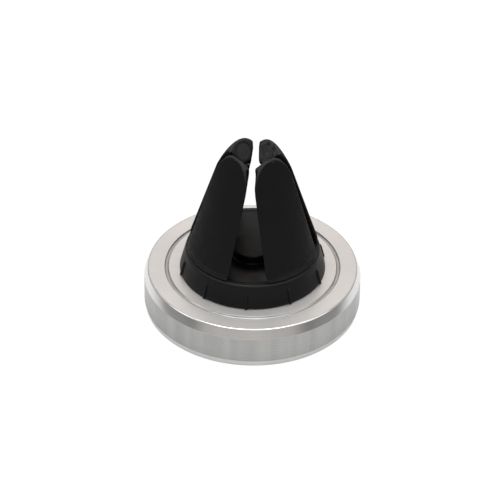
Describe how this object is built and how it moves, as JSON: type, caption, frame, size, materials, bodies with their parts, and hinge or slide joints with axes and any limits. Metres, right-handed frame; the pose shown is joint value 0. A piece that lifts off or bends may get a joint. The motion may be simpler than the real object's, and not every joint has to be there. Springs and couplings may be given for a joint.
{
  "type": "car vent phone mount",
  "caption": "Round turned-aluminium magnet disc for a phone, with a swivelling black clip whose rubber-sleeved prongs grip the louver of a car air vent.",
  "frame": {"origin": "middle of the magnet face, which the part stands on with its clip pointing up", "axes": "+Z along the swivel axis, from the magnet face to the clip's tips; +Y along the wide slot between the prongs; +X along the narrow slot"},
  "size_m": [0.04, 0.04, 0.0338],
  "materials": {
    "turned_aluminium": "fine-turned satin with bright bevels",
    "pad_silicone": "soft matte silicone",
    "adhesive_film": "thin double-sided film",
    "carrier_plastic": "moulded, unseen",
    "magnet_nickel": "nickel-plated",
    "yoke_steel": "zinc-plated sheet",
    "pivot_steel": "bright steel",
    "bush_brass": "machined",
    "washer_nylon": "natural nylon",
    "clip_plastic": "satin black moulding",
    "collar_plastic": "satin black moulding with ribs",
    "prong_plastic": "satin black moulding",
    "grip_rubber": "matte black soft rubber with a fine grain"
  },
  "bodies": {
    "disc": {"disc_housing": "turned_aluminium", "face_pad": "pad_silicone", "pad_adhesive": "adhesive_film", "magnet_carrier": "carrier_plastic", "magnet_1": "magnet_nickel", "magnet_2": "magnet_nickel", "magnet_3": "magnet_nickel", "magnet_4": "magnet_nickel", "magnet_5": "magnet_nickel", "magnet_6": "magnet_nickel", "yoke_plate": "yoke_steel", "pivot_nut": "pivot_steel", "pivot_screw": "pivot_steel", "swivel_bush": "bush_brass", "thrust_washer": "washer_nylon", "wave_washer": "pivot_steel"},
    "clip": {"clip_base": "clip_plastic", "pivot_cap": "clip_plastic", "collar_ring": "collar_plastic"},
    "prong_front_left": {"prong_core_front_left": "prong_plastic", "grip_sleeve_front_left": "grip_rubber"},
    "prong_front_right": {"prong_core_front_right": "prong_plastic", "grip_sleeve_front_right": "grip_rubber"},
    "prong_rear_left": {"prong_core_rear_left": "prong_plastic", "grip_sleeve_rear_left": "grip_rubber"},
    "prong_rear_right": {"prong_core_rear_right": "prong_plastic", "grip_sleeve_rear_right": "grip_rubber"}
  },
  "joints": [
    {"name": "clip_swivel", "type": "hinge", "parent": "disc", "child": "clip", "pos_m": [0, 0, 0.008], "axis": [0, 0, 1], "continuous": true},
    {"name": "flex_front_left", "type": "hinge", "parent": "clip", "child": "prong_front_left", "pos_m": [-0.00721, -0.00721, 0.0125], "axis": [0.7071, -0.7071, 0], "range_deg": [-1, 4], "stiffness_Nm_per_rad": 2},
    {"name": "flex_front_right", "type": "hinge", "parent": "clip", "child": "prong_front_right", "pos_m": [0.00721, -0.00721, 0.0125], "axis": [0.7071, 0.7071, 0], "range_deg": [-1, 4], "stiffness_Nm_per_rad": 2},
    {"name": "flex_rear_left", "type": "hinge", "parent": "clip", "child": "prong_rear_left", "pos_m": [-0.00721, 0.00721, 0.0125], "axis": [-0.7071, -0.7071, 0], "range_deg": [-1, 4], "stiffness_Nm_per_rad": 2},
    {"name": "flex_rear_right", "type": "hinge", "parent": "clip", "child": "prong_rear_right", "pos_m": [0.00721, 0.00721, 0.0125], "axis": [-0.7071, 0.7071, 0], "range_deg": [-1, 4], "stiffness_Nm_per_rad": 2}
  ]
}
